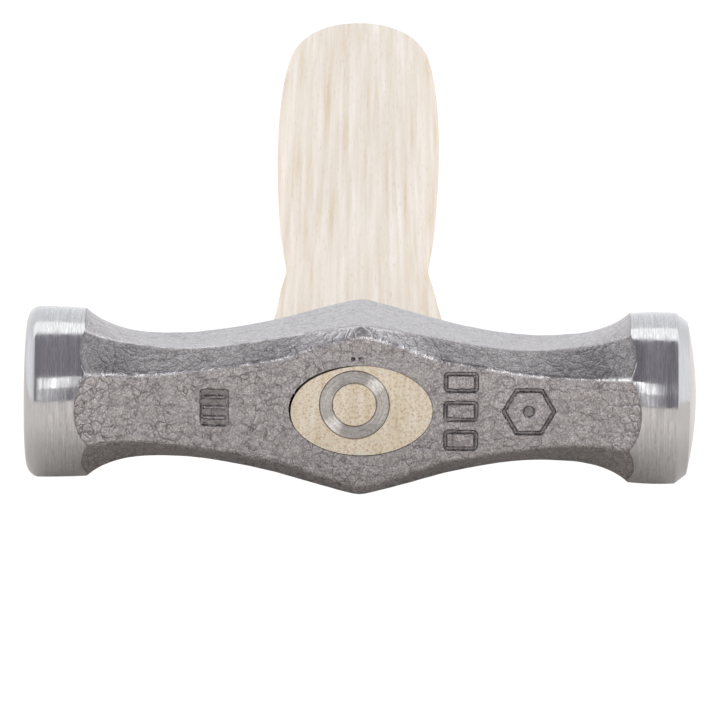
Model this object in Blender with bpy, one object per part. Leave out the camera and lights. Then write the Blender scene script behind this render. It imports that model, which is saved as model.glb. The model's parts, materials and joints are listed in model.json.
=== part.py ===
"""A double-faced forged hammer: steel head, ash handle and a round ring wedge.

Run it with: blender --background --python part.py, or from Blender's text editor.
The hammer lies on its side. The head runs along X, the eye face looks along -Y,
the handle runs along +Y, and Z is up. The origin is the middle of the footprint.
Lengths are in millimetres up to MM, which turns them to metres.
"""

import math

import bmesh
import bpy
import numpy as np

MM = 0.001

# head
FACE_RADIUS = 14.05  # both turned ends
RIDGE_HALF_HEIGHT = 14.45  # half height at the ridge, as if it came to a point
RIDGE_ROUNDING = 1.2  # half width of the blunted ridge
RIDGE_DROP = 0.25  # the forging lies this far below the axis of the turned ends
EYE_HALF_DEPTH = 11.35  # half depth of the body beside the eye
WAIST_HALF_DEPTH = 10.8
# each end: how far out the flats meet the turned band, its turned profile, and the
# half height of the body as (share of the way from the ridge to the band, height)
FLAT_END = {
    "side": -1,
    "band": 44.9,
    "band_drop": 0.15,
    "neck_radius": 13.8,
    "face": 54.9,
    "edge_length": 2.1,
    "edge_depth": 2.6,
    "edge_steps": 5,
    "crown": 0.0,
    "height": [
        (0, RIDGE_HALF_HEIGHT),
        (0.15, 13.0),
        (0.29, 11.55),
        (0.44, 10.2),
        (0.56, 9.43),
        (0.67, 9.12),
        (0.76, 9.25),
        (0.84, 9.66),
        (0.92, 10.5),
        (1.0, 11.95),
        (1.1, 15.5),
    ],
}
CROWNED_END = {
    "side": 1,
    "band": 43.8,
    "band_drop": 0.0,
    "neck_radius": 13.9,
    "face": 53.5,
    "edge_length": 1.9,
    "edge_depth": 1.46,
    "edge_steps": 1,
    "crown": 1.5,
    "height": [
        (0, RIDGE_HALF_HEIGHT),
        (0.15, 12.95),
        (0.29, 11.5),
        (0.44, 10.15),
        (0.56, 9.43),
        (0.67, 9.23),
        (0.76, 9.5),
        (0.84, 9.9),
        (0.92, 10.7),
        (1.0, 12.05),
        (1.1, 15.6),
    ],
}
CROWN_STEPS = 4
STEPS_PER_FLAT = 5  # steps across each of the eight flats
TOP_FLAT = 2  # the flats are counted from the eye face round over the top
BOTTOM_FLAT = 6
BODY_STEPS = 20  # steps from the ridge to the turned band

# eye and what fills it: widths run along X, heights along Z
EYE_WIDTH = 23.6
EYE_HEIGHT = 15.2
EYE_PINCH = 1.2  # how much narrower the eye is at its middle
EYE_TURNS = 48
GAP = 0.25  # clearance on every side between the pieces

# handle
HANDLE_LENGTH = 300.0
HANDLE_TURNS = 32
GRIP_STEPS = 26
GRIP_SQUARENESS = 2.15  # superellipse power of the grip's section
GRIP_START = 0.6  # the shoulder begins this far behind the head
GRIP_DRIFT = 1.05  # the grip runs this far to the flat face's side of the eye
GRIP_DRIFT_LENGTH = 40.0
BUTT_ROUNDING = 3.0
BUTT_STEPS = 4
TENON_INSET = 0.15  # the end grain lies this far inside the eye face

# ring wedge
RING_RADIUS = 5.7
RING_BORE = 3.6
RING_LENGTH = 15.0
RING_TIP_WALL = 0.5
RING_TIP_FLARE = 0.4  # how much wider the bore is at the thin end
RING_TURNS = 40
RING_OFFSET_X = -1.05
RING_OFFSET_Z = 0.95

# marks struck into the eye face
MARK_DEPTH = 0.35
MARK_LINE = 0.6
BARS_X = -23.85
BAR_COUNT = 4
BAR_SIZE = (4.6, 1.0)
BAR_SPACING = 1.7
FRAMES_X = 16.3
FRAME_COUNT = 3
FRAME_SIZE = (5.6, 3.4)
FRAME_SPACING = 4.85
HEXAGON_X = 27.4
HEXAGON_RADIUS = 4.4

OVERSHOOT = 2.0  # how far cutters stand out of what they cut

BUTT_Y = HANDLE_LENGTH - EYE_HALF_DEPTH + TENON_INSET  # from the head's axis to the butt
HEAD_Y = -(BUTT_Y - FACE_RADIUS) / 2  # head's axis


def smooth_curve(points, places):
    """Cubic through (place, value) points, each slope taken from its neighbours."""
    known, values = np.array(points, float).T
    slopes = np.gradient(values, known)
    i = np.clip(np.searchsorted(known, places) - 1, 0, len(known) - 2)
    step = known[i + 1] - known[i]
    s = (places - known[i]) / step
    return (
        values[i] * (1 + 2 * s) * (1 - s) ** 2
        + slopes[i] * step * s * (1 - s) ** 2
        + values[i + 1] * s**2 * (3 - 2 * s)
        + slopes[i + 1] * step * s**2 * (s - 1)
    )


def body_corner(share, end):
    """Half height, half depth and the half sizes of the two flats of the octagon.

    share is the distance from the ridge over the distance to the turned band.
    The last value is how far the cheeks, flat in the middle, swell out at the band.
    """
    depth = [
        (0, EYE_HALF_DEPTH),
        (0.3, 11.1),
        (0.6, WAIST_HALF_DEPTH),
        (0.8, WAIST_HALF_DEPTH),
        (0.92, 11.3),
        (1.0, 12.6),
        (1.1, 16.0),
    ]
    front_flat = [
        (0, 12.9),
        (0.15, 11.0),
        (0.29, 8.75),
        (0.44, 7.55),
        (0.67, 6.1),
        (0.85, 5.65),
        (1.0, 6.05),
        (1.1, 7.0),
    ]
    cheek_flat = [
        (0, 10.2),
        (0.15, 8.6),
        (0.29, 7.25),
        (0.5, 6.4),
        (0.67, 5.8),
        (0.85, 5.1),
        (1.0, 6.9),
        (1.1, 8.7),
    ]
    cheek_swell = [(0, 0), (0.4, 0), (0.8, 0), (0.88, 0.25), (0.94, 0.8), (1.0, 1.65), (1.1, 2.6)]
    curves = (end["height"], depth, front_flat, cheek_flat, cheek_swell)
    return [smooth_curve(curve, share) for curve in curves]


def octagon(share, end):
    """Points round the body, Y and Z, for shares of shape (n,): arrays (8 * steps, n)."""
    height, depth, front, cheek, swell = body_corner(share, end)
    corners_y = [-depth, -depth, -cheek, cheek, depth, depth, cheek, -cheek]
    corners_z = [-front, front, height, height, front, -front, -height, -height]
    y = np.array(corners_y)
    z = np.array(corners_z)
    across = np.arange(STEPS_PER_FLAT) / STEPS_PER_FLAT
    points = []
    for corner in (y, z):
        following = np.roll(corner, -1, axis=0)
        points.append(corner[:, None] + (following - corner)[:, None] * across[None, :, None])
    bulge = 4 * across[:, None] * (1 - across[:, None]) * swell
    points[1][TOP_FLAT] += bulge
    points[1][BOTTOM_FLAT] -= bulge
    drop = RIDGE_DROP + (end["band_drop"] - RIDGE_DROP) * share
    points[1] -= drop
    return [point.reshape(8 * STEPS_PER_FLAT, -1) for point in points]


def band_share(end):
    """Share at which each line along the body reaches the neck's radius, by halving."""
    low = np.full(8 * STEPS_PER_FLAT, 0.9)
    high = np.full(8 * STEPS_PER_FLAT, 1.1)
    line = np.arange(8 * STEPS_PER_FLAT)
    for _ in range(40):
        middle = (low + high) / 2
        y, z = octagon(middle, end)
        inside = np.hypot(y[line, line], z[line, line]) < end["neck_radius"]
        low = np.where(inside, middle, low)
        high = np.where(inside, high, middle)
    return (low + high) / 2


def half_head_rings(end):
    """Rings of points from the ridge out to one face, each (X, Y, Z) arrays."""
    side = end["side"]
    limit = band_share(end)
    line = np.arange(8 * STEPS_PER_FLAT)
    rings = []
    for step in range(BODY_STEPS + 1):
        share = limit * (step / BODY_STEPS)
        blunted = np.hypot(share, RIDGE_ROUNDING / end["band"])
        blunted = np.where(share < 0.5, blunted, share)
        y, z = octagon(blunted, end)
        rings.append((side * share * end["band"], y[line, line], z[line, line]))
    _, y, z = rings[-1]
    angle = np.arctan2(z, y)
    for place, radius in turned_profile(end):
        x = np.full(len(line), side * place)
        rings.append((x, radius * np.cos(angle), radius * np.sin(angle)))
    return rings


def turned_profile(end):
    """(place along X, radius) of the turned end: rounded or chamfered edge, then crown."""
    profile = []
    edge_start = end["face"] - end["edge_length"]
    for step in range(end["edge_steps"] + 1):
        turn = math.pi / 2 * step / end["edge_steps"]
        place = edge_start + end["edge_length"] * math.sin(turn)
        radius = FACE_RADIUS - end["edge_depth"] * (1 - math.cos(turn))
        profile.append((place, radius))
    rim = FACE_RADIUS - end["edge_depth"]
    if end["crown"] > 0:
        for step in range(1, CROWN_STEPS):
            radius = rim * (1 - step / CROWN_STEPS)
            place = end["face"] + end["crown"] * (1 - (radius / rim) ** 2)
            profile.append((place, radius))
    return profile


def material(name, colour, metallic, roughness):
    made = bpy.data.materials.new(name)
    made.use_nodes = True
    shader = made.node_tree.nodes["Principled BSDF"]
    shader.inputs["Base Color"].default_value = (*colour, 1)
    shader.inputs["Metallic"].default_value = metallic
    shader.inputs["Roughness"].default_value = roughness
    return made


def mesh_object(name, points, faces, finish=None):
    """An object from points in millimetres, with its faces pointing outwards."""
    mesh = bpy.data.meshes.new(name)
    mesh.from_pydata((np.array(points) * MM).tolist(), [], faces)
    shape = bmesh.new()
    shape.from_mesh(mesh)
    bmesh.ops.recalc_face_normals(shape, faces=shape.faces)
    shape.to_mesh(mesh)
    shape.free()
    made = bpy.data.objects.new(name, mesh)
    bpy.context.scene.collection.objects.link(made)
    if finish is not None:
        mesh.materials.append(finish)
        mesh.shade_smooth()
        mesh.set_sharp_from_angle(angle=math.radians(25))
    return made


def loft(name, rings, finish=None):
    """A closed solid through rings of equally many points, with flat ends."""
    around = len(rings[0])
    faces = []
    for ring in range(len(rings) - 1):
        for i in range(around):
            j = (i + 1) % around
            start = ring * around
            faces.append((start + i, start + j, start + around + j, start + around + i))
    last = (len(rings) - 1) * around
    faces.append(tuple(reversed(range(around))))
    faces.append(tuple(range(last, last + around)))
    return mesh_object(name, np.concatenate(rings), faces, finish)


def oval_ring(y, half_width, half_height, turns, power=2.0, offset=(0.0, 0.0)):
    """Points of an upright oval at depth y: a superellipse of the given power."""
    turn = 2 * math.pi * np.arange(turns) / turns
    across = np.sign(np.cos(turn)) * np.abs(np.cos(turn)) ** (2 / power)
    up = np.sign(np.sin(turn)) * np.abs(np.sin(turn)) ** (2 / power)
    x = offset[0] + half_width * across
    z = offset[1] + half_height * up
    return np.stack([x, np.full(turns, y), z], axis=1)


def cut(target, cutter):
    """Takes the cutter's shape out of the target and hides the cutter."""
    cutter.hide_render = True
    cutter.display_type = "WIRE"
    change = target.modifiers.new(cutter.name, "BOOLEAN")
    change.operation = "DIFFERENCE"
    change.solver = "EXACT"
    change.object = cutter
    cutter.parent = target


def eye_half_size(y):
    """Half width and half height of the eye at depth y: widest at both mouths."""
    pinch = EYE_PINCH / 2 * max(0.0, 1 - (y / EYE_HALF_DEPTH) ** 2)
    return EYE_WIDTH / 2 - pinch, EYE_HEIGHT / 2 - pinch


def eye_cutter():
    rings = []
    for y in np.linspace(-EYE_HALF_DEPTH, EYE_HALF_DEPTH, 9):
        rings.append(oval_ring(y, *eye_half_size(y), EYE_TURNS))
    mouth = eye_half_size(EYE_HALF_DEPTH)
    rings.insert(0, oval_ring(-EYE_HALF_DEPTH - OVERSHOOT, *mouth, EYE_TURNS))
    rings.append(oval_ring(EYE_HALF_DEPTH + OVERSHOOT, *mouth, EYE_TURNS))
    return loft("eye_cutter", rings)


def mark_cutter(name, outline, outer_y, inner_y):
    """A flat slug of the outline, a list of (x, z), between two depths."""
    outside = [(x, outer_y, z) for x, z in outline]
    inside = [(x, inner_y, z) for x, z in outline]
    return loft(name, [np.array(outside), np.array(inside)])


def frame_outline(centre_x, centre_z, width, height):
    """Corners of an upright rectangle."""
    signs = [(-1, -1), (1, -1), (1, 1), (-1, 1)]
    return [(centre_x + a * width / 2, centre_z + b * height / 2) for a, b in signs]


def row_height(row, count, spacing):
    """Height of one row of a column of equally spaced rows centred on the eye."""
    return spacing * ((count - 1) / 2 - row)


def hexagon_outline(centre_x, centre_z, radius):
    turns = [math.pi / 3 * i for i in range(6)]
    return [(centre_x + radius * math.cos(a), centre_z + radius * math.sin(a)) for a in turns]


def hollow_mark(name, outline, face_y):
    """A sunk line of MARK_LINE width inside the outline, with its middle left standing."""
    outer = mark_cutter(name, outline, face_y - OVERSHOOT, face_y + MARK_DEPTH)
    points = np.array(outline)
    centre = points.mean(axis=0)
    reach = np.abs(points - centre).max(axis=0)
    shrunk = centre + (points - centre) * (reach - MARK_LINE) / reach
    past_outer = (face_y - 2 * OVERSHOOT, face_y + 2 * MARK_DEPTH)
    inner = mark_cutter(name + "_island", shrunk.tolist(), *past_outer)
    cut(outer, inner)
    return outer


def eye_face_y(x, end):
    """Depth of the eye face's middle at x, from the head's axis."""
    share = np.array([abs(x) / end["band"]])
    return -float(body_corner(share, end)[1][0])


def head_marks():
    """Plain punch marks: four bars on one side, three frames and a hexagon on the other."""
    cutters = []
    face_y = eye_face_y(BARS_X, FLAT_END)
    for row in range(BAR_COUNT):
        outline = frame_outline(BARS_X, row_height(row, BAR_COUNT, BAR_SPACING), *BAR_SIZE)
        depths = (face_y - OVERSHOOT, face_y + MARK_DEPTH)
        cutters.append(mark_cutter(f"bar_mark_{row}", outline, *depths))
    face_y = eye_face_y(FRAMES_X, CROWNED_END)
    for row in range(FRAME_COUNT):
        centre_z = row_height(row, FRAME_COUNT, FRAME_SPACING)
        outline = frame_outline(FRAMES_X, centre_z, *FRAME_SIZE)
        cutters.append(hollow_mark(f"frame_mark_{row}", outline, face_y))
    face_y = eye_face_y(HEXAGON_X, CROWNED_END)
    outline = hexagon_outline(HEXAGON_X, 0.0, HEXAGON_RADIUS)
    cutters.append(hollow_mark("hexagon_mark", outline, face_y))
    return cutters


def make_head(steel):
    left = half_head_rings(FLAT_END)
    right = half_head_rings(CROWNED_END)
    rings = [np.stack(ring, axis=1) for ring in reversed(left)]
    rings += [np.stack(ring, axis=1) for ring in right[1:]]
    head = loft("hammer_head", rings, steel)
    cut(head, eye_cutter())
    for cutter in head_marks():
        cut(head, cutter)
    return head


def handle_sizes():
    """(distance behind the head's axis, half width, half thickness) of the grip."""
    return [
        (EYE_HALF_DEPTH + GRIP_START, 11.5, 7.3),
        (18.0, 13.1, 8.6),
        (30.0, 14.5, 9.7),
        (42.0, 14.7, 9.9),
        (58.0, 14.05, 9.7),
        (71.0, 13.55, 9.3),
        (82.0, 12.9, 9.1),
        (92.0, 12.65, 9.0),
        (104.0, 13.0, 9.1),
        (124.0, 13.95, 9.6),
        (153.0, 14.8, 10.3),
        (195.0, 15.6, 11.0),
        (240.0, 15.8, 11.1),
        (275.0, 15.2, 10.7),
        (BUTT_Y, 14.6, 10.3),
    ]


def grip_ring(y, width, height):
    """One section of the grip, which drifts a little to one side of the eye."""
    behind = y - EYE_HALF_DEPTH
    drift = -GRIP_DRIFT * (1 - math.exp(-behind / GRIP_DRIFT_LENGTH))
    return oval_ring(y, width, height, HANDLE_TURNS, GRIP_SQUARENESS, (drift, 0.0))


def make_handle(ash):
    front = -EYE_HALF_DEPTH + TENON_INSET
    rings = []
    for y in np.linspace(front, EYE_HALF_DEPTH, 7):
        width, height = eye_half_size(y)
        rings.append(oval_ring(y, width - GAP, height - GAP, HANDLE_TURNS))
    sizes = np.array(handle_sizes())
    butt = sizes[-1, 0]
    along = np.linspace(sizes[0, 0], butt - BUTT_ROUNDING, GRIP_STEPS)
    widths = smooth_curve(sizes[:, (0, 1)], along)
    heights = smooth_curve(sizes[:, (0, 2)], along)
    for y, width, height in zip(along, widths, heights):
        rings.append(grip_ring(y, width, height))
    for step in range(1, BUTT_STEPS + 1):
        turn = math.pi / 2 * step / BUTT_STEPS
        y = butt - BUTT_ROUNDING * (1 - math.sin(turn))
        inward = BUTT_ROUNDING * (1 - math.cos(turn))
        rings.append(grip_ring(y, widths[-1] - inward, heights[-1] - inward))
    handle = loft("handle", rings, ash)
    cut(handle, ring_groove_cutter())
    return handle


def ring_profile(clearance):
    """Outer radius, bore and length of the wedge, grown by a clearance."""
    return {
        "outer": RING_RADIUS + clearance,
        "bore": RING_BORE - clearance,
        "tip_outer": RING_BORE + RING_TIP_FLARE + RING_TIP_WALL + clearance,
        "tip_bore": RING_BORE + RING_TIP_FLARE - clearance,
        "length": RING_LENGTH + clearance,
    }


def ring_solid(name, clearance, front_y, finish=None):
    """A turned ring that tapers to a thin edge: its wall goes round a closed loop."""
    size = ring_profile(clearance)
    back_y = -EYE_HALF_DEPTH + TENON_INSET + size["length"]
    wall = [
        (size["bore"], front_y),
        (size["outer"], front_y),
        (size["tip_outer"], back_y),
        (size["tip_bore"], back_y),
    ]
    points = []
    faces = []
    for i in range(RING_TURNS):
        turn = 2 * math.pi * i / RING_TURNS
        for radius, y in wall:
            x = RING_OFFSET_X + radius * math.cos(turn)
            z = RING_OFFSET_Z + radius * math.sin(turn)
            points.append((x, y, z))
    for i in range(RING_TURNS):
        j = (i + 1) % RING_TURNS
        for a in range(4):
            b = (a + 1) % 4
            faces.append((4 * i + a, 4 * i + b, 4 * j + b, 4 * j + a))
    return mesh_object(name, points, faces, finish)


def ring_groove_cutter():
    return ring_solid("ring_groove_cutter", GAP, -EYE_HALF_DEPTH - OVERSHOOT)


def make_ring_wedge(steel):
    return ring_solid("ring_wedge", 0.0, -EYE_HALF_DEPTH + TENON_INSET, steel)


def main():
    for thing in list(bpy.data.objects):
        bpy.data.objects.remove(thing, do_unlink=True)
    forged_steel = material("forged_steel", (0.22, 0.20, 0.20), 0.8, 0.5)
    ash_wood = material("ash_wood", (0.80, 0.70, 0.55), 0.0, 0.55)
    turned_steel = material("turned_steel", (0.42, 0.41, 0.39), 1.0, 0.35)
    hammer = bpy.data.objects.new("hammer", None)
    bpy.context.scene.collection.objects.link(hammer)
    head = make_head(forged_steel)
    handle = make_handle(ash_wood)
    ring = make_ring_wedge(turned_steel)
    ridge = np.array([RIDGE_ROUNDING / FLAT_END["band"]])
    lying_height = -float(octagon(ridge, FLAT_END)[1].min())  # the hammer lies on its ridge
    hammer.location = (0, HEAD_Y * MM, lying_height * MM)
    for piece in (head, handle, ring):
        piece.parent = hammer


main()
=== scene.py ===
import json
import math

import bpy
import numpy as np
from mathutils import Matrix, Vector


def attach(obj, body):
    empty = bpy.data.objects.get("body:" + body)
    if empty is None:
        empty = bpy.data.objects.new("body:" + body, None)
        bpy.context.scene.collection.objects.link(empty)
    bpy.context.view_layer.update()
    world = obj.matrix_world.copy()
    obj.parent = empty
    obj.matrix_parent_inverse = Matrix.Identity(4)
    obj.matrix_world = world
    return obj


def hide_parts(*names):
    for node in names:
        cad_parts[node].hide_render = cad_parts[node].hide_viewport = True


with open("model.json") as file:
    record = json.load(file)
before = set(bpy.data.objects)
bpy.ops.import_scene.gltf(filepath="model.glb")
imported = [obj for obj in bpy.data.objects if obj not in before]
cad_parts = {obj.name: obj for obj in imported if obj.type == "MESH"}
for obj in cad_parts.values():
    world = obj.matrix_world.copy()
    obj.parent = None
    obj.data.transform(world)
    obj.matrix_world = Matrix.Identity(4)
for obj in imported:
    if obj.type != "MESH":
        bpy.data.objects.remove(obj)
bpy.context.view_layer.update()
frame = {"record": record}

# A double-faced forging hammer lying on its side: forged steel head with two ground faces,
# ash handle, turned ring wedge. Lengths are millimetres until a mesh is made.
mm = 0.001
# the middle of the flat striking face lies on the head's axis
strikingFace = next(m for m in frame["record"]["mounts"] if m["name"] == "flat_striking_face")
headCentre = np.array([0.0, *strikingFace["pos_m"][1:]]) / mm


def linearColour(code):
    # sRGB hex to linear: the low part is a straight line, the rest a power of 2.4
    parts = [int(code[i:i + 2], 16) / 255 for i in (1, 3, 5)]
    return tuple(c / 12.92 if c <= 0.04045 else ((c + 0.055) / 1.055) ** 2.4 for c in parts) + (1.0,)


def smoothCurve(points, places):
    # cubic through (place, value) points, each slope taken from its neighbours
    known, values = np.array(points, float).T
    slopes = np.gradient(values, known)
    i = np.clip(np.searchsorted(known, places) - 1, 0, len(known) - 2)
    step = known[i + 1] - known[i]
    s = (places - known[i]) / step
    return (values[i] * (1 + 2 * s) * (1 - s) ** 2 + slopes[i] * step * s * (1 - s) ** 2
            + values[i + 1] * s ** 2 * (3 - 2 * s) + slopes[i + 1] * step * s ** 2 * (s - 1))


def smoothStep(low, high, value):
    # 0 up to low, 1 from high on, an S-shaped cubic between them
    s = np.clip((value - low) / (high - low), 0, 1)
    return s * s * (3 - 2 * s)


noiseTable = np.random.default_rng(11).random(4096)


def softNoise(points, cell, shift=0):
    # value noise: random heights on a cubic lattice of that cell, blended smoothly, from -1 to 1
    scaled = points / cell + 61.7 + shift
    corner = np.floor(scaled).astype(np.int64)
    s = scaled - corner
    s = s * s * (3 - 2 * s)
    total = np.zeros(points.shape[:-1])
    for dx in (0, 1):
        for dy in (0, 1):
            for dz in (0, 1):
                at = corner + (dx, dy, dz)
                pick = (at[..., 0] * 73856093 ^ at[..., 1] * 19349663 ^ at[..., 2] * 83492791) & 4095
                weight = np.prod(np.abs((1 - dx, 1 - dy, 1 - dz) - s), axis=-1)
                total += noiseTable[pick] * weight
    return total * 2 - 1


def gridNormals(grid):
    # cross product of the steps along and round the grid; round is closed
    along = np.gradient(grid, axis=0)
    around = np.roll(grid, -1, axis=1) - np.roll(grid, 1, axis=1)
    normal = np.cross(along, around)
    return normal / np.maximum(np.linalg.norm(normal, axis=2, keepdims=True), 1e-9)


def closedTube(name, grid, materialOf=None, materials=()):
    # a closed skin from rings (n, m, 3): quads between rings, a fan to a pole at both ends;
    # materialOf gives a material number for each band between two rings
    n, m = grid.shape[:2]
    poles = np.stack([grid[0].mean(axis=0), grid[-1].mean(axis=0)])
    points = np.concatenate([grid.reshape(-1, 3), poles]) + headCentre
    ring = np.arange(n - 1)[:, None] * m
    line = np.arange(m)[None, :]
    after = (line + 1) % m
    quads = np.stack([ring + line, ring + m + line, ring + m + after, ring + after], axis=2).reshape(-1, 4)
    last = (n - 1) * m
    line, after = line[0], after[0]
    startFan = np.stack([np.full(m, n * m), line, after], axis=1)
    endFan = np.stack([np.full(m, n * m + 1), last + after, last + line], axis=1)
    faces = quads.tolist() + startFan.tolist() + endFan.tolist()
    mesh = bpy.data.meshes.new(name)
    mesh.from_pydata((points * mm).tolist(), [], faces)
    for one in materials:
        mesh.materials.append(one)
    if materialOf is not None:
        ofPoles = np.repeat((materialOf[0], materialOf[-1]), m)
        number = np.concatenate([np.repeat(materialOf, m), ofPoles])
        mesh.polygons.foreach_set("material_index", number.astype(np.int32))
    mesh.validate()
    made = bpy.data.objects.new(name, mesh)
    bpy.context.scene.collection.objects.link(made)
    return made


def addNode(tree, kind, values=None, links=None, stops=(), **settings):
    # one node with its settings, socket values and links, and the stops of a colour ramp
    made = tree.nodes.new(kind)
    for key, value in settings.items():
        setattr(made, key, value)
    for socket, value in (values or {}).items():
        made.inputs[socket].default_value = value
    for socket, source in (links or {}).items():
        out = source.outputs[0] if isinstance(source, bpy.types.Node) else source
        tree.links.new(out, made.inputs[socket])
    while stops and len(made.color_ramp.elements) < len(stops):
        made.color_ramp.elements.new(0.5)
    for number, (place, colour) in enumerate(stops):
        mark = made.color_ramp.elements[number]
        mark.position = place
        mark.color = linearColour(colour)
    return made


def newMaterial(name):
    # an empty material, its node tree, its shader and its output
    made = bpy.data.materials.new(name)
    made.use_nodes = True
    tree = made.node_tree
    return made, tree, tree.nodes["Principled BSDF"], tree.nodes["Material Output"]


def forgedSteelMaterial():
    # drop-forged carbon steel, scaled and shot-blasted: a dull grey gritty skin, split into
    # rounded scales by thin dark lines, worn bright along its long edges with a painted highlight there; the
    # cheeks carry painted light, the upper bevels and the marks painted shade
    made, tree, shader, _ = newMaterial("forged steel")
    place = addNode(tree, "ShaderNodeTexCoord").outputs["Object"]
    inMillimetres = addNode(tree, "ShaderNodeMapping", {"Scale": (1000, 1000, 1000)}, {"Vector": place})
    # scales a little under 2 mm across, with curved borders
    wander = addNode(tree, "ShaderNodeTexNoise", {"Scale": 0.5, "Detail": 2.0}, {"Vector": inMillimetres})
    bend = addNode(tree, "ShaderNodeVectorMath", {1: (2.4, 2.4, 2.4)}, {0: wander.outputs["Color"]},
                   operation="MULTIPLY")
    bent = addNode(tree, "ShaderNodeVectorMath", links={0: inMillimetres, 1: bend}, operation="ADD")
    scales = addNode(tree, "ShaderNodeTexVoronoi", {"Scale": 0.62, "Randomness": 0.9}, {"Vector": bent},
                     feature="DISTANCE_TO_EDGE")
    border = addNode(tree, "ShaderNodeMapRange", {"From Max": 0.085, "To Min": 1.0, "To Max": 0.0},
                     {"Value": scales})
    # the lines are stronger on the flat-face side, and come and go in patches
    patches = addNode(tree, "ShaderNodeTexNoise", {"Scale": 0.28, "Detail": 2.0}, {"Vector": inMillimetres})
    patchy = addNode(tree, "ShaderNodeMapRange", {"From Min": 0.30, "From Max": 0.58, "To Min": 0.15},
                     {"Value": patches})
    along = addNode(tree, "ShaderNodeSeparateXYZ", links={"Vector": inMillimetres})
    fading = {"From Min": -8, "From Max": 12, "To Min": 0.8, "To Max": 0.66}
    flatSide = addNode(tree, "ShaderNodeMapRange", fading, {"Value": along.outputs["X"]})
    where = addNode(tree, "ShaderNodeMath", links={0: patchy, 1: flatSide}, operation="MULTIPLY")
    gaps = addNode(tree, "ShaderNodeTexNoise", {"Scale": 0.9, "Detail": 2.0}, {"Vector": inMillimetres})
    kept = addNode(tree, "ShaderNodeMapRange", {"From Min": 0.42, "From Max": 0.56, "To Min": 0.35},
                   {"Value": gaps})
    line = addNode(tree, "ShaderNodeMath", links={0: border, 1: where}, operation="MULTIPLY")
    crack = addNode(tree, "ShaderNodeMath", links={0: line, 1: kept}, operation="MULTIPLY")
    # blasted grit of 0.3 mm and finer
    grit = addNode(tree, "ShaderNodeTexNoise", {"Scale": 3.6, "Detail": 4.0, "Roughness": 0.7},
                   {"Vector": inMillimetres})
    mottle = addNode(tree, "ShaderNodeTexNoise", {"Scale": 0.7, "Detail": 3.0, "Roughness": 0.6},
                     {"Vector": inMillimetres})
    both = addNode(tree, "ShaderNodeMix", {"Factor": 0.22}, {"A": grit, "B": mottle}, data_type="FLOAT")
    tone = addNode(tree, "ShaderNodeValToRGB", links={"Fac": both},
                   stops=[(0.34, "#7e7a7b"), (0.5, "#a8a4a4"), (0.66, "#dad7d7")])
    dark = addNode(tree, "ShaderNodeMix", {"B": linearColour("#4f4849")}, {"A": tone, "Factor": crack},
                   data_type="RGBA")
    # painted shade: the struck marks, and a thin band along the border of the ground ends, are darkened in
    # colour
    sunk = addNode(tree, "ShaderNodeAttribute", attribute_name="sunk").outputs["Fac"]
    paintedShadeShare = addNode(tree, "ShaderNodeMath", {1: 0.46}, {0: sunk}, operation="MULTIPLY")
    marked = addNode(tree, "ShaderNodeMix", {"B": linearColour("#5d5757")},
                     {"A": dark.outputs["Result"], "Factor": paintedShadeShare}, data_type="RGBA")
    # painted highlight, with wear: the long upper edges turn near-white and smoother
    wearAndHighlight = addNode(tree, "ShaderNodeAttribute", attribute_name="wearAndHighlight").outputs["Fac"]
    colour = addNode(tree, "ShaderNodeMix", {"B": linearColour("#f2f0ee")},
                     {"A": marked.outputs["Result"], "Factor": wearAndHighlight}, data_type="RGBA")
    # painted light: the narrow cheeks, and the bevels near the ridge, are lighter in colour; they are also
    # smoother
    smoothAndLit = addNode(tree, "ShaderNodeAttribute", attribute_name="smoothAndLit").outputs["Fac"]
    smoothAndLitShare = addNode(tree, "ShaderNodeMath", {1: 0.27}, {0: smoothAndLit}, operation="MULTIPLY")
    lighter = addNode(tree, "ShaderNodeMix", {"B": linearColour("#b3b1b3")},
                      {"A": colour.outputs["Result"], "Factor": smoothAndLitShare}, data_type="RGBA")
    # painted shade: the upper bevels, away from the ridge, are darker in colour
    scaled = addNode(tree, "ShaderNodeAttribute", attribute_name="scaled").outputs["Fac"]
    bevelShade = addNode(tree, "ShaderNodeMapRange", {"To Min": 1.0, "To Max": 0.6}, {"Value": scaled})
    shadedBevels = addNode(tree, "ShaderNodeVectorMath", links={0: lighter.outputs["Result"], "Scale": bevelShade},
                     operation="SCALE")
    tree.links.new(shadedBevels.outputs[0], shader.inputs["Base Color"])
    smoother = addNode(tree, "ShaderNodeMath", links={0: wearAndHighlight, 1: smoothAndLitShare}, operation="MAXIMUM")
    rough = addNode(tree, "ShaderNodeMapRange", {"To Min": 0.34, "To Max": 0.18}, {"Value": smoother})
    tree.links.new(rough.outputs[0], shader.inputs["Roughness"])
    # relief in millimetres: the scales stand out from their borders, with the grit on top
    scaleEdge = addNode(tree, "ShaderNodeMapRange", {"From Max": 0.2}, {"Value": scales},
                        interpolation_type="SMOOTHSTEP")
    scaleHeight = addNode(tree, "ShaderNodeMath", {1: 0.065}, {0: scaleEdge}, operation="MULTIPLY")
    gritHeight = addNode(tree, "ShaderNodeMath", {1: 0.055}, {0: grit}, operation="MULTIPLY")
    height = addNode(tree, "ShaderNodeMath", links={0: scaleHeight, 1: gritHeight}, operation="ADD")
    quiet = addNode(tree, "ShaderNodeMath", links={0: smoothAndLit, 1: scaled}, operation="MAXIMUM")
    rise = addNode(tree, "ShaderNodeMapRange", {"To Min": 1.0, "To Max": 0.32}, {"Value": quiet})
    bump = addNode(tree, "ShaderNodeBump", {"Distance": mm}, {"Height": height, "Strength": rise})
    tree.links.new(bump.outputs["Normal"], shader.inputs["Normal"])
    shader.inputs["Metallic"].default_value = 1.0
    return made


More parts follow.
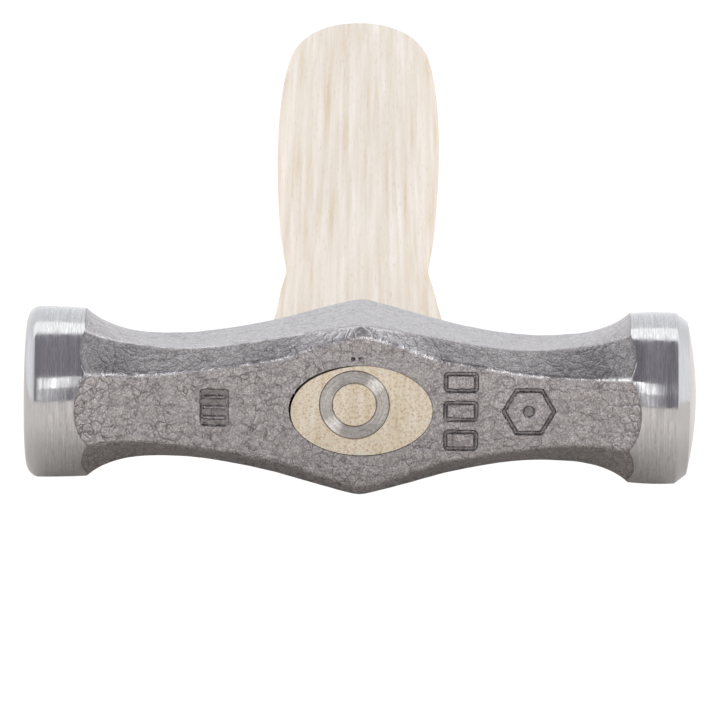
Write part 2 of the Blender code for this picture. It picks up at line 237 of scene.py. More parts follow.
def groundSteelMaterial():
    # the same steel ground round on a belt: bright, with short lines round the axis that
    # stretch every reflection along the head
    made, tree, shader, _ = newMaterial("ground steel")
    place = addNode(tree, "ShaderNodeTexCoord").outputs["Object"]
    # distance along the head minus distance from its axis: the lines run on over the edge and
    # become circles on the faces
    fromAxis = addNode(tree, "ShaderNodeVectorMath", {1: tuple(headCentre * mm)}, {0: place},
                       operation="SUBTRACT")
    parts = addNode(tree, "ShaderNodeSeparateXYZ", links={"Vector": fromAxis})
    aside = addNode(tree, "ShaderNodeVectorMath", {1: (0, 1, 1)}, {0: fromAxis}, operation="MULTIPLY")
    radius = addNode(tree, "ShaderNodeVectorMath", links={0: aside}, operation="LENGTH").outputs["Value"]
    outwards = addNode(tree, "ShaderNodeMath", links={0: parts.outputs["X"]}, operation="ABSOLUTE")
    counted = addNode(tree, "ShaderNodeMath", links={0: outwards, 1: radius}, operation="SUBTRACT")
    unrolled = addNode(tree, "ShaderNodeCombineXYZ", links={"X": counted, "Y": parts.outputs["Y"],
                                                            "Z": parts.outputs["Z"]})
    # grinding lines about 0.2 mm apart and some 6 mm long, crossed by finer short ones
    lines = addNode(tree, "ShaderNodeMapping", {"Scale": (5200, 170, 170)}, {"Vector": unrolled})
    scratch = addNode(tree, "ShaderNodeTexNoise", {"Scale": 1.0, "Detail": 3.0, "Roughness": 0.6},
                      {"Vector": lines})
    shortLines = addNode(tree, "ShaderNodeMapping", {"Scale": (9500, 900, 900)}, {"Vector": unrolled})
    nick = addNode(tree, "ShaderNodeTexNoise", {"Scale": 1.0, "Detail": 2.0, "Roughness": 0.5},
                   {"Vector": shortLines})
    mixed = addNode(tree, "ShaderNodeMix", {"Factor": 0.45}, {"A": scratch, "B": nick}, data_type="FLOAT")
    # edges and faces were finished finer than the cylinders
    calming = {"From Min": 51.3 * mm, "From Max": 51.9 * mm, "To Min": 1.0, "To Max": 0.35}
    depth = addNode(tree, "ShaderNodeMapRange", calming, {"Value": outwards})
    both = addNode(tree, "ShaderNodeMix", {"A": 0.5}, {"Factor": depth, "B": mixed.outputs["Result"]},
                   data_type="FLOAT").outputs["Result"]
    tone = addNode(tree, "ShaderNodeValToRGB", links={"Fac": both},
                   stops=[(0.35, "#a9a9a9"), (0.5, "#bcbcbc"), (0.65, "#cecece")])
    tree.links.new(tone.outputs["Color"], shader.inputs["Base Color"])
    bump = addNode(tree, "ShaderNodeBump", {"Strength": 0.35, "Distance": 0.02 * mm}, {"Height": both})
    tree.links.new(bump.outputs["Normal"], shader.inputs["Normal"])
    # some bundles of lines are coarser and blur more
    bundles = addNode(tree, "ShaderNodeMapping", {"Scale": (1100, 60, 60)}, {"Vector": unrolled})
    coarse = addNode(tree, "ShaderNodeTexNoise", {"Scale": 1.0, "Detail": 2.0}, {"Vector": bundles})
    blur = {"From Min": 0.35, "From Max": 0.7, "To Min": 0.11, "To Max": 0.24}
    rough = addNode(tree, "ShaderNodeMapRange", blur, {"Value": coarse})
    tree.links.new(rough.outputs[0], shader.inputs["Roughness"])
    shader.inputs["Metallic"].default_value = 1.0
    shader.inputs["Anisotropic"].default_value = 0.6
    shader.inputs["Anisotropic Rotation"].default_value = 0.25
    turning = addNode(tree, "ShaderNodeTangent", direction_type="RADIAL", axis="X")
    tree.links.new(turning.outputs["Tangent"], shader.inputs["Tangent"])
    return made


def ashWoodMaterial():
    # pale European ash, sanded: straight grain along the handle, cream with faint stripes
    made, tree, shader, _ = newMaterial("ash wood")
    place = addNode(tree, "ShaderNodeTexCoord").outputs["Object"]
    # growth rings a little over 1 mm apart, running along Y
    growth = addNode(tree, "ShaderNodeMapping", {"Scale": (850, 11, 260)}, {"Vector": place})
    rings = addNode(tree, "ShaderNodeTexNoise", {"Scale": 1.0, "Detail": 4.0, "Roughness": 0.55},
                    {"Vector": growth})
    tone = addNode(tree, "ShaderNodeValToRGB", links={"Fac": rings},
                   stops=[(0.28, "#d9c6a6"), (0.42, "#e2d6c4"), (0.55, "#e9dfd0"), (0.72, "#f2eade")])
    # pores: short dark dashes about 0.2 mm wide
    fine = addNode(tree, "ShaderNodeMapping", {"Scale": (4200, 160, 4200)}, {"Vector": place})
    pores = addNode(tree, "ShaderNodeTexNoise", {"Scale": 1.0, "Detail": 2.0}, {"Vector": fine})
    poreHere = addNode(tree, "ShaderNodeMapRange", {"From Min": 0.6, "From Max": 0.75, "To Max": 0.35},
                       {"Value": pores})
    mixed = addNode(tree, "ShaderNodeMix", {"B": linearColour("#b89c78")}, {"A": tone, "Factor": poreHere},
                    data_type="RGBA")
    tree.links.new(mixed.outputs["Result"], shader.inputs["Base Color"])
    bump = addNode(tree, "ShaderNodeBump", {"Strength": 0.4, "Distance": 0.05 * mm}, {"Height": pores})
    tree.links.new(bump.outputs["Normal"], shader.inputs["Normal"])
    shader.inputs["Roughness"].default_value = 0.6
    return made


def endGrainMaterial():
    # sawn and sanded end of the same ash: cream with faint growth lines, freckled orange-brown
    # by open pores and torn fibres
    made, tree, shader, _ = newMaterial("ash end grain")
    place = addNode(tree, "ShaderNodeTexCoord").outputs["Object"]
    inMillimetres = addNode(tree, "ShaderNodeMapping", {"Scale": (1000, 1000, 1000)}, {"Vector": place})
    growth = addNode(tree, "ShaderNodeMapping", {"Scale": (900, 100, 110)}, {"Vector": place})
    rings = addNode(tree, "ShaderNodeTexNoise", {"Scale": 1.0, "Detail": 3.0}, {"Vector": growth})
    tone = addNode(tree, "ShaderNodeValToRGB", links={"Fac": rings},
                   stops=[(0.3, "#e2d5bb"), (0.5, "#ece1ca"), (0.7, "#f4ecdc")])
    specks = addNode(tree, "ShaderNodeTexNoise", {"Scale": 2.3, "Detail": 5.0, "Roughness": 0.75},
                     {"Vector": inMillimetres})
    speckHere = addNode(tree, "ShaderNodeMapRange", {"From Min": 0.49, "From Max": 0.64, "To Max": 0.62},
                        {"Value": specks})
    mixed = addNode(tree, "ShaderNodeMix", {"B": linearColour("#b98845")}, {"A": tone, "Factor": speckHere},
                    data_type="RGBA")
    tree.links.new(mixed.outputs["Result"], shader.inputs["Base Color"])
    bump = addNode(tree, "ShaderNodeBump", {"Strength": 0.8, "Distance": 0.15 * mm}, {"Height": specks})
    tree.links.new(bump.outputs["Normal"], shader.inputs["Normal"])
    shader.inputs["Roughness"].default_value = 0.7
    return made


def turnedSteelMaterial():
    # mild steel faced on a lathe: grey, with fine circles round the ring's own axis
    made, tree, shader, _ = newMaterial("turned steel")
    place = addNode(tree, "ShaderNodeTexCoord").outputs["Object"]
    inMillimetres = addNode(tree, "ShaderNodeMapping", {"Scale": (1000, 1000, 1000)}, {"Vector": place})
    nicks = addNode(tree, "ShaderNodeTexNoise", {"Scale": 2.2, "Detail": 4.0, "Roughness": 0.7},
                    {"Vector": inMillimetres})
    # lathe lines: noise drawn out along circles about the ring's axis
    axis = tuple((headCentre + (handleSettings["ringX"], 0, handleSettings["ringZ"])) * mm)
    fromAxis = addNode(tree, "ShaderNodeVectorMath", {1: axis}, {0: place}, operation="SUBTRACT")
    flat = addNode(tree, "ShaderNodeVectorMath", {1: (1, 0, 1)}, {0: fromAxis}, operation="MULTIPLY")
    radius = addNode(tree, "ShaderNodeVectorMath", links={0: flat}, operation="LENGTH").outputs["Value"]
    counted = addNode(tree, "ShaderNodeMath", {1: 6500.0}, {0: radius}, operation="MULTIPLY")
    unit = addNode(tree, "ShaderNodeSeparateXYZ", links={
        "Vector": addNode(tree, "ShaderNodeVectorMath", links={0: flat}, operation="NORMALIZE")})
    circle = addNode(tree, "ShaderNodeCombineXYZ", links={"X": unit.outputs["X"], "Y": counted,
                                                          "Z": unit.outputs["Z"]})
    lathe = addNode(tree, "ShaderNodeTexNoise", {"Scale": 1.0, "Detail": 3.0, "Roughness": 0.6},
                    {"Vector": circle})
    both = addNode(tree, "ShaderNodeMix", {"Factor": 0.55}, {"A": nicks, "B": lathe}, data_type="FLOAT")
    tone = addNode(tree, "ShaderNodeValToRGB", links={"Fac": both},
                   stops=[(0.36, "#8d8a87"), (0.5, "#b5b2ae"), (0.64, "#d4d1cd")])
    # painted highlight: two lighter rays across the ring, up to the right and down to the left, painted into
    # the colour where a turned face would catch the light
    slant = addNode(tree, "ShaderNodeMath", links={0: unit.outputs["X"], 1: unit.outputs["Z"]},
                    operation="MULTIPLY")
    highlightWidening = {"From Min": 0.38, "From Max": 0.5, "To Min": 1.0, "To Max": 1.85}
    ray = addNode(tree, "ShaderNodeMapRange", highlightWidening, {"Value": slant})
    paintedRays = addNode(tree, "ShaderNodeVectorMath", links={0: tone, "Scale": ray}, operation="SCALE")
    tree.links.new(paintedRays.outputs[0], shader.inputs["Base Color"])
    bump = addNode(tree, "ShaderNodeBump", {"Strength": 0.5, "Distance": 0.03 * mm}, {"Height": both})
    tree.links.new(bump.outputs["Normal"], shader.inputs["Normal"])
    shader.inputs["Metallic"].default_value = 1.0
    shader.inputs["Roughness"].default_value = 0.36
    shader.inputs["Anisotropic"].default_value = 0.75
    shader.inputs["Anisotropic Rotation"].default_value = 0.25
    turning = addNode(tree, "ShaderNodeTangent", direction_type="RADIAL", axis="Y")
    tree.links.new(turning.outputs["Tangent"], shader.inputs["Tangent"])
    return made


forgedSteel = forgedSteelMaterial()
groundSteel = groundSteelMaterial()
ashWood = ashWoodMaterial()
endGrain = endGrainMaterial()
print("materials made")


# the head's tables run out from the ridge: (share of the way to the ground band, value)
headSettings = {
    "faceRadius": 14.05,  # both ground ends
    "ridgeRounding": 1.2,  # half width of the blunted ridge
    "ridgeDrop": 0.25,  # the forging lies this far below the axis of the ground ends
    "edgeRounding": 0.55,  # how far from each long edge its rounding starts
    # half depth of the body, half height of its eye face, half depth and swell of its cheeks
    "depth": [(0, 11.35), (0.3, 11.1), (0.6, 10.8), (0.8, 10.8), (0.92, 11.3), (1.0, 12.6), (1.1, 16.0)],
    "frontFlat": [(0, 12.9), (0.15, 11.0), (0.29, 8.75), (0.44, 7.55), (0.67, 6.1), (0.85, 5.65),
                  (1.0, 6.05), (1.1, 7.0)],
    "cheekFlat": [(0, 10.2), (0.15, 8.6), (0.29, 7.25), (0.5, 6.4), (0.67, 5.8), (0.85, 5.1),
                  (1.0, 6.9), (1.1, 8.7)],
    "cheekSwell": [(0, 0), (0.4, 0), (0.8, 0), (0.88, 0.25), (0.94, 0.8), (1.0, 1.65), (1.1, 2.6)],
    # lines across each of the eight flats, from the eye face round over the top
    "lines": [124, 13, 14, 9, 18, 9, 14, 13],
    "flatEnd": {
        "side": -1, "skinEnd": 44.0, "band": 44.9, "bandDrop": 0.15, "neckRadius": 13.8, "face": 54.9,
        "edgeLength": 2.1, "edgeDepth": 2.6, "rounded": True, "crown": 0.0, "barrel": 0.06,
        "height": [(0, 14.45), (0.15, 13.0), (0.29, 11.55), (0.44, 10.2), (0.56, 9.43), (0.67, 9.12),
                   (0.76, 9.25), (0.84, 9.66), (0.92, 10.5), (1.0, 11.95), (1.1, 15.5)]},
    "crownedEnd": {
        "side": 1, "skinEnd": 43.0, "band": 43.8, "bandDrop": 0.0, "neckRadius": 13.9, "face": 53.5,
        "edgeLength": 1.9, "edgeDepth": 1.46, "rounded": False, "crown": 1.5, "barrel": 0.14,
        "height": [(0, 14.45), (0.15, 12.95), (0.29, 11.5), (0.44, 10.15), (0.56, 9.43), (0.67, 9.23),
                   (0.76, 9.5), (0.84, 9.9), (0.92, 10.7), (1.0, 12.05), (1.1, 15.6)]},
    "eyeWidth": 23.6, "eyeHeight": 15.2, "eyePinch": 1.2, "eyeHalfDepth": 11.35,
    "markDepth": 0.45, "markWall": 0.14, "markStroke": 0.56,
    "skinHeight": 0.035,  # swell of the forged skin
    # how bright the upper edge of the eye face is, along the head: wear and a painted highlight
    "wearAndHighlightAlong": [(-45, 1.0), (-33, 1.0), (-29, 0.5), (-20, 0.4), (-12, 0.45), (-4, 0.2), (-1, 0.2),
                  (1, 0.9), (8, 1.0), (20, 0.9), (28, 0.7), (36, 0.75), (43, 0.9)],
    # the painted highlight reaches as far as the wear
    "wearAndHighlightWidth": 0.27, "cheekWearAndHighlightWidth": 0.25,  # how far the wear reaches from those edges
}


def bodyPoint(share, flat, across, end):
    # a point on the eight-sided body: straight across its flat, and within edgeRounding of a
    # corner moved inwards by a parabola that meets both flats smoothly. The cheeks swell by a
    # parabola towards the bands, and the whole section drops a little at the ridge
    blunted = np.where(share < 0.5, np.hypot(share, headSettings["ridgeRounding"] / end["band"]), share)
    height = smoothCurve(end["height"], blunted)
    depth, front, cheek, swell = (smoothCurve(headSettings[k], blunted)
                                  for k in ("depth", "frontFlat", "cheekFlat", "cheekSwell"))
    cornerY = np.stack([-depth, -depth, -cheek, cheek, depth, depth, cheek, -cheek])
    cornerZ = np.stack([-front, front, height, height, front, -front, -height, -height])
    corner = np.stack([cornerY, cornerZ], axis=-1)
    line = np.arange(len(flat))
    before, start, finish, beyond = (np.moveaxis(corner[(flat + k) % 8, ..., line, :], 0, -2)
                                     for k in (-1, 0, 1, 2))
    directions = []
    for a, b in ((before, start), (start, finish), (finish, beyond)):
        directions.append((b - a) / np.linalg.norm(b - a, axis=-1, keepdims=True))
    length = np.linalg.norm(finish - start, axis=-1, keepdims=True)
    reach = headSettings["edgeRounding"]
    place = across[:, None]
    nearStart = np.clip(1 - place * length / reach, 0, 1) ** 2 * reach / 4
    nearEnd = np.clip(1 - (1 - place) * length / reach, 0, 1) ** 2 * reach / 4
    point = (start + (finish - start) * place + nearStart * (directions[1] - directions[0])
             + nearEnd * (directions[2] - directions[1]))
    upward = np.where(flat == 2, 1, np.where(flat == 6, -1, 0))
    point[..., 1] += upward * 4 * across * (1 - across) * swell
    point[..., 1] -= headSettings["ridgeDrop"] + (end["bandDrop"] - headSettings["ridgeDrop"]) * blunted
    return point


def lineLayout():
    # flat number and place across it of every line, closer together near the corners
    flats, places = [], []
    for number, count in enumerate(headSettings["lines"]):
        q = np.arange(count) / count
        crowd = 0.35 if number == 0 else 0.8
        flats.append(np.full(count, number))
        places.append(q - crowd * np.sin(2 * np.pi * q) / (2 * np.pi))
    return np.concatenate(flats), np.concatenate(places)


def bandShare(flat, across, end):
    # share of the way out where each line reaches the neck's radius, by halving
    low, high = np.full(len(flat), 0.9), np.full(len(flat), 1.12)
    for _ in range(40):
        middle = (low + high) / 2
        point = bodyPoint(middle[None, :], flat, across, end)[0]
        inside = np.hypot(point[:, 0], point[:, 1]) < end["neckRadius"]
        low, high = np.where(inside, middle, low), np.where(inside, high, middle)
    return (low + high) / 2


def columnPlaces(side, band):
    # distances from the ridge: 0.17 mm apart under the struck marks, wider elsewhere
    marked = (12.5, 33.0) if side > 0 else (20.5, 27.2)
    places = [0.0]
    while places[-1] < band:
        x = places[-1]
        step = 0.17 if marked[0] < x < marked[1] else 0.24 if x < 35 else 0.4
        places.append(x + step)
    places = np.array(places)
    return places[places < band - 0.2].tolist() + [band]


def turnedProfile(end):
    # (place, radius) from the cylinder over its rounded or chamfered edge to the middle of the face
    start = end["face"] - end["edgeLength"]
    rim = headSettings["faceRadius"] - end["edgeDepth"]
    if end["rounded"]:
        turn = np.linspace(0, np.pi / 2, 13)
        place = start + end["edgeLength"] * np.sin(turn)
        radius = headSettings["faceRadius"] - end["edgeDepth"] * (1 - np.cos(turn))
    else:
        # a flat chamfer: its outer corner is broken by some 0.15 mm, its inner one stays crisp
        along = np.array([-0.12, -0.04, 0.04, 0.12, 0.5, 0.88, 0.96])
        place = start + end["edgeLength"] * np.clip(along, 0, 1)
        radius = headSettings["faceRadius"] - end["edgeDepth"] * np.clip(along, 0, 1)
        place[:2] = start + end["edgeLength"] * along[:2]
    inner = np.linspace(1, 0, 15)[1 if end["rounded"] else 0:-1]
    facePlace = end["face"] + end["crown"] * (1 - inner ** 2)
    return np.concatenate([place, facePlace]), np.concatenate([radius, rim * inner])


def halfHead(end, flat, across):
    # columns from the ridge outwards; returns the grid and which bands are ground
    side, band = end["side"], end["band"]
    limit = bandShare(flat, across, end)
    w = np.array(columnPlaces(side, band)) / band
    share = w[:, None] * (1 + (limit[None, :] - 1) * w[:, None] ** 6)
    body = bodyPoint(share, flat, across, end)
    bodyGrid = np.concatenate([side * share[..., None] * band, body], axis=-1)
    rim = bodyGrid[-1]
    angle = np.arctan2(rim[:, 2], rim[:, 1])
    edgeStart = end["face"] - end["edgeLength"]
    out = np.linspace(0, 1, 18)[1:-1, None]
    cylinderX = np.abs(rim[None, :, 0]) * (1 - out) + (edgeStart - 0.3) * out
    place, radius = turnedProfile(end)
    x = np.concatenate([cylinderX, np.repeat(place[:, None], len(flat), axis=1)])
    # a slight cone from the rim to the edge, barrelled by a parabola
    coned = np.hypot(rim[:, 1], rim[:, 2]) * (1 - out) + headSettings["faceRadius"] * out
    coned += end["barrel"] * 4 * out * (1 - out)
    r = np.concatenate([coned, np.repeat(radius[:, None], len(flat), axis=1)])
    ends = np.stack([side * x, r * np.cos(angle), r * np.sin(angle)], axis=-1)
    ground = np.concatenate([np.zeros(len(w) - 1), np.ones(len(x))])
    return np.concatenate([bodyGrid, ends]), ground


def boxDistance(x, z, centreX, centreZ, width, height, corner):
    # signed distance to a rectangle with rounded corners, negative inside
    dx = np.abs(x - centreX) - width / 2 + corner
    dz = np.abs(z - centreZ) - height / 2 + corner
    outside = np.hypot(np.maximum(dx, 0), np.maximum(dz, 0))
    return outside + np.minimum(np.maximum(dx, dz), 0) - corner


def hexagonDistance(x, z, centreX, centreZ, radius):
    # signed distance to a hexagon with a corner on the X axis
    apothem = radius * math.cos(math.pi / 6)
    turns = [math.pi / 6 + math.pi / 3 * i for i in range(6)]
    across = [(x - centreX) * math.cos(t) + (z - centreZ) * math.sin(t) for t in turns]
    return np.max(across, axis=0) - apothem


def markDepth(x, z):
    # how far the struck marks sink: a panel with bars left standing, three frames, a hexagon with
    # a dot, and two small dots above the eye. Each wall is an S-curve over the signed distance
    wall = headSettings["markWall"]
    half = headSettings["markStroke"] / 2

    def sunk(distance):
        return smoothStep(wall, -wall, distance)

    def three(shapeAt):
        return np.max([sunk(shapeAt(k)) for k in (-1, 0, 1)], axis=0)

    panel = sunk(boxDistance(x, z, -23.85, 0.15, 4.6, 6.1, 0.5))
    bars = three(lambda k: boxDistance(x, z, -23.85, 0.15 + 1.7 * k, 3.7, 0.5, 0.2))
    frames = three(lambda k: np.abs(boxDistance(x, z, 16.3, 4.85 * k, 5.0, 2.8, 0.5)) - half)
    hexagon = np.abs(hexagonDistance(x, z, 27.4, 0.0, 4.1)) - half
    shield = np.maximum(sunk(hexagon), sunk(np.hypot(x - 27.4, z) - 0.9))
    dots = np.maximum(sunk(np.hypot(x + 1.3, z - 8.6) - 0.25), sunk(np.hypot(x + 0.2, z - 8.7) - 0.2))
    return headSettings["markDepth"] * np.max([panel - 0.75 * bars, frames, shield, dots], axis=0)


def eyeCutter():
    # an oval tube, narrower in its middle, that stands out of both mouths
    half = headSettings["eyeHalfDepth"]
    y = np.concatenate([[-half - 2], np.linspace(-half, half, 13), [half + 2]])
    pinch = headSettings["eyePinch"] / 2 * np.maximum(0, 1 - (y / half) ** 2)
    turn = 2 * np.pi * np.arange(160) / 160
    x = (headSettings["eyeWidth"] / 2 - pinch)[:, None] * np.cos(turn)
    z = (headSettings["eyeHeight"] / 2 - pinch)[:, None] * np.sin(turn)
    return closedTube("eyeCutter", np.stack([x, np.repeat(y[:, None], len(turn), axis=1), z], axis=-1))


def paintHead(mesh):
    # four masks for the forged steel: wear and a painted highlight, a bell curve over the distance to
    # the long upper edges, broken up by noise; smoothness and painted light on the cheeks; painted shade on
    # the upper bevels; painted shade in the struck marks and along the border of the ground ends
    flatCo = np.empty(len(mesh.vertices) * 3)
    mesh.vertices.foreach_get("co", flatCo)
    point = flatCo.reshape(-1, 3) / mm - headCentre
    x, y, level = point.T
    flatEnd, crownedEnd = headSettings["flatEnd"], headSettings["crownedEnd"]
    band, neck = (np.where(x < 0, flatEnd[k], crownedEnd[k]) for k in ("band", "neckRadius"))
    share = np.abs(x) / band
    blunted = np.where(share < 0.5, np.hypot(share, headSettings["ridgeRounding"] / band), share)
    blunted = np.minimum(blunted, 1.0)
    depth, front, cheek = (smoothCurve(headSettings[k], blunted) for k in ("depth", "frontFlat", "cheekFlat"))
    height = np.where(x < 0, *(smoothCurve(end["height"], blunted) for end in (flatEnd, crownedEnd)))
    z = level + headSettings["ridgeDrop"] * (1 - blunted)
    wobble = 0.12 * softNoise(point, 2.2, 5)
    frontEdge = np.hypot(np.abs(y) - depth, z - front + wobble) / headSettings["wearAndHighlightWidth"]
    cheekEdge = np.hypot(np.abs(y) - cheek, z - height + wobble) / headSettings["cheekWearAndHighlightWidth"]
    strength = np.interp(x, *np.array(headSettings["wearAndHighlightAlong"]).T)
    broken = smoothStep(-0.6, 0.3, softNoise(point * (0.5, 1, 1), 0.8, 9) + 0.5 * softNoise(point, 0.35, 3))
    wearAndHighlight = 2.6 * np.exp(-frontEdge ** 2) * strength * broken
    wearAndHighlight = np.clip(wearAndHighlight + 0.9 * np.exp(-cheekEdge ** 2) * broken * (x < -8), 0, 1)
    # painted light: the cheeks are made lighter in colour, and smoother
    smoothAndLit = smoothStep(0.1, -0.15, np.abs(y) - cheek) * (np.abs(z) > front + 0.5)
    # painted shade: the upper bevels are made darker in colour
    scaled = smoothStep(-0.1, 0.15, np.abs(y) - cheek) * smoothStep(-0.1, 0.15, z - front)
    # painted light: the bevels are made lighter again towards the ridge
    nearRidge = 1 - smoothStep(0.05, 0.35, share)
    smoothAndLit = np.maximum(smoothAndLit, 0.6 * scaled * nearRidge)
    wearAndHighlight = np.maximum(wearAndHighlight, 0.34 * scaled * smoothStep(0.22, 0.03, share))
    scaled *= 1 - nearRidge
    # painted shade: the marks and a thin band along the border of the ground ends are darkened
    border = smoothStep(-0.35, -0.05, np.hypot(y, level) - neck) * (share > 0.86)
    sunk = np.where(y < -8.5, markDepth(x, level) / headSettings["markDepth"], 0)
    sunk = np.maximum(sunk, border)
    for name, values in (("wearAndHighlight", wearAndHighlight), ("sunk", sunk), ("smoothAndLit", smoothAndLit), ("scaled", scaled)):
        layer = mesh.attributes.new(name, "FLOAT", "POINT")
        layer.data.foreach_set("value", values.astype(np.float32))


def makeHead():
    # both halves as one closed tube, the skin swelled along its normals, the marks pressed in
    # along Y, then the eye cut through
    flat, across = lineLayout()
    flatEnd, crownedEnd = headSettings["flatEnd"], headSettings["crownedEnd"]
    left, leftGround = halfHead(flatEnd, flat, across)
    right, rightGround = halfHead(crownedEnd, flat, across)
    grid = np.concatenate([left[::-1], right[1:]])
    ground = np.concatenate([leftGround[::-1], rightGround])
    normals = gridNormals(grid)
    # forged skin: soft swells that die out at the ground bands
    x = grid[..., 0]
    forged = smoothStep(0, 1.5, np.where(x < 0, flatEnd["skinEnd"] + x, crownedEnd["skinEnd"] - x))
    swell = softNoise(grid, 2.6) + 0.6 * softNoise(grid, 1.3, 17)
    grid = grid + normals * (headSettings["skinHeight"] * forged * swell)[..., None]
    onEyeFace = smoothStep(-0.9, -0.99, normals[..., 1])
    grid[..., 1] += markDepth(grid[..., 0], grid[..., 2]) * onEyeFace
    body = closedTube("hammerHead", grid, ground, (forgedSteel, groundSteel))
    cutter = eyeCutter()
    cut = body.modifiers.new("eye", "BOOLEAN")
    cut.operation, cut.solver, cut.object = "DIFFERENCE", "EXACT", cutter
    made = body.evaluated_get(bpy.context.evaluated_depsgraph_get())
    mesh = bpy.data.meshes.new_from_object(made)
    body.modifiers.clear()
    body.data = mesh
    bpy.data.objects.remove(cutter)
    mesh.shade_smooth()
    mesh.set_sharp_from_angle(angle=math.radians(28))
    paintHead(mesh)
    return body


hammerHead = makeHead()
print("head made,", len(hammerHead.data.polygons), "faces")


# sizes are (distance behind the head's middle, half width, half height)
handleSettings = {
    "tenonInset": 0.15, "tenonClearance": 0.08, "gapWidth": 0.32,
    "ringRadius": 5.7, "ringBore": 3.6, "ringLength": 15.0, "ringX": -1.05, "ringZ": 0.95,
    "ringClearance": 0.06, "grooveEdge": 0.12, "coreTaper": 0.2, "wallTaper": 0.6,
    "buttRounding": 3.0, "squareness": 2.15, "drift": 1.05, "driftLength": 40.0,
    "lines": 160,
    "sizes": [(11.95, 11.5, 7.3), (18, 13.1, 8.6), (30, 14.5, 9.7), (42, 14.7, 9.9), (58, 14.05, 9.7),
              (71, 13.55, 9.3), (82, 12.9, 9.1), (92, 12.65, 9.0), (104, 13.0, 9.1), (124, 13.95, 9.6),
              (153, 14.8, 10.3), (195, 15.6, 11.0), (240, 15.8, 11.1), (275, 15.2, 10.7),
              (288.8, 14.6, 10.3)],
}


def ovalPoints(halfWidth, halfHeight, turn, power=2.0):
    # superellipse of that power
    across = np.sign(np.cos(turn)) * np.abs(np.cos(turn)) ** (2 / power)
    up = np.sign(np.sin(turn)) * np.abs(np.sin(turn)) ** (2 / power)
    return halfWidth * across, halfHeight * up


def makeHandle():
    # rings from the middle of the end grain out, down the wedge's groove and up again, along the
    # tenon and the grip, and over the rounded butt to its middle
    s = handleSettings
    half = headSettings["eyeHalfDepth"]
    front = -half + s["tenonInset"]
    turn = 2 * np.pi * np.arange(s["lines"]) / s["lines"]
    rings, isEnd = [], []

    def add(x, y, z, end=0):
        rings.append(np.stack([x, np.broadcast_to(y, x.shape), z], axis=-1))
        isEnd.append(end)

    def circle(radius, y):
        add(s["ringX"] + radius * np.cos(turn), y, s["ringZ"] + radius * np.sin(turn), 1)

    core, wall = s["ringBore"] - s["ringClearance"], s["ringRadius"] + s["ringClearance"]
    for radius in np.linspace(0.2, core - s["grooveEdge"], 10):
        circle(radius, front)
    circle(core, front + s["grooveEdge"])
    circle(core + s["coreTaper"], front + s["ringLength"])
    circle(wall - s["wallTaper"], front + s["ringLength"])
    circle(wall, front + s["grooveEdge"])
    mouth = ovalPoints(headSettings["eyeWidth"] / 2, headSettings["eyeHeight"] / 2, turn)
    # the tenon fills the eye apart from a narrow gap at its upper flat-face side
    gap = s["tenonClearance"] + s["gapWidth"] * smoothStep(0.45, 1.0, np.cos(turn - math.radians(146)))
    shrink = 1 - gap / np.hypot(*mouth)
    for out in np.linspace(0.03, 0.985, 12):
        x = (s["ringX"] + wall * np.cos(turn)) * (1 - out) + mouth[0] * shrink * out
        z = (s["ringZ"] + wall * np.sin(turn)) * (1 - out) + mouth[1] * shrink * out
        add(x, front, z, 1)
    for y in np.linspace(front + 0.1, half, 14):
        pinch = headSettings["eyePinch"] / 2 * max(0.0, 1 - (y / half) ** 2)
        x, z = ovalPoints(headSettings["eyeWidth"] / 2 - pinch, headSettings["eyeHeight"] / 2 - pinch, turn)
        add(x * shrink, y, z * shrink)
    sizes = np.array(s["sizes"])
    butt = sizes[-1, 0]
    shoulder = 30.0
    along = np.concatenate([np.linspace(sizes[0, 0], shoulder, 16),
                            np.linspace(shoulder, butt - s["buttRounding"], 90)[1:]])
    widths, heights = smoothCurve(sizes[:, (0, 1)], along), smoothCurve(sizes[:, (0, 2)], along)
    drift = -s["drift"] * (1 - np.exp(-(along - half) / s["driftLength"]))
    for y, width, height, offset in zip(along, widths, heights, drift):
        x, z = ovalPoints(width, height, turn, s["squareness"])
        add(x + offset, y, z)
    for step in np.linspace(0, np.pi / 2, 9)[1:]:
        inward = s["buttRounding"] * (1 - math.cos(step))
        x, z = ovalPoints(widths[-1] - inward, heights[-1] - inward, turn, s["squareness"])
        add(x + drift[-1], butt - s["buttRounding"] * (1 - math.sin(step)), z)
    flatX, flatZ = x, z
    for share in np.linspace(1, 0, 9)[1:-1]:
        add(flatX * share + drift[-1], butt, flatZ * share, 1)
    grid = np.stack(rings)
    bands = np.maximum(isEnd[:-1], isEnd[1:]) * np.array(isEnd[:-1])
    made = closedTube("handle", grid, bands, (ashWood, endGrain))
    made.data.shade_smooth()
    made.data.set_sharp_from_angle(angle=math.radians(35))
    return made


ashHandle = makeHandle()
print("handle made")


ringSettings = {
    "edge": 0.26, "grooves": 9, "grooveDepth": 0.02,
    "tipWall": 0.5, "tipFlare": 0.4, "lines": 144,
}
turnedSteel = turnedSteelMaterial()


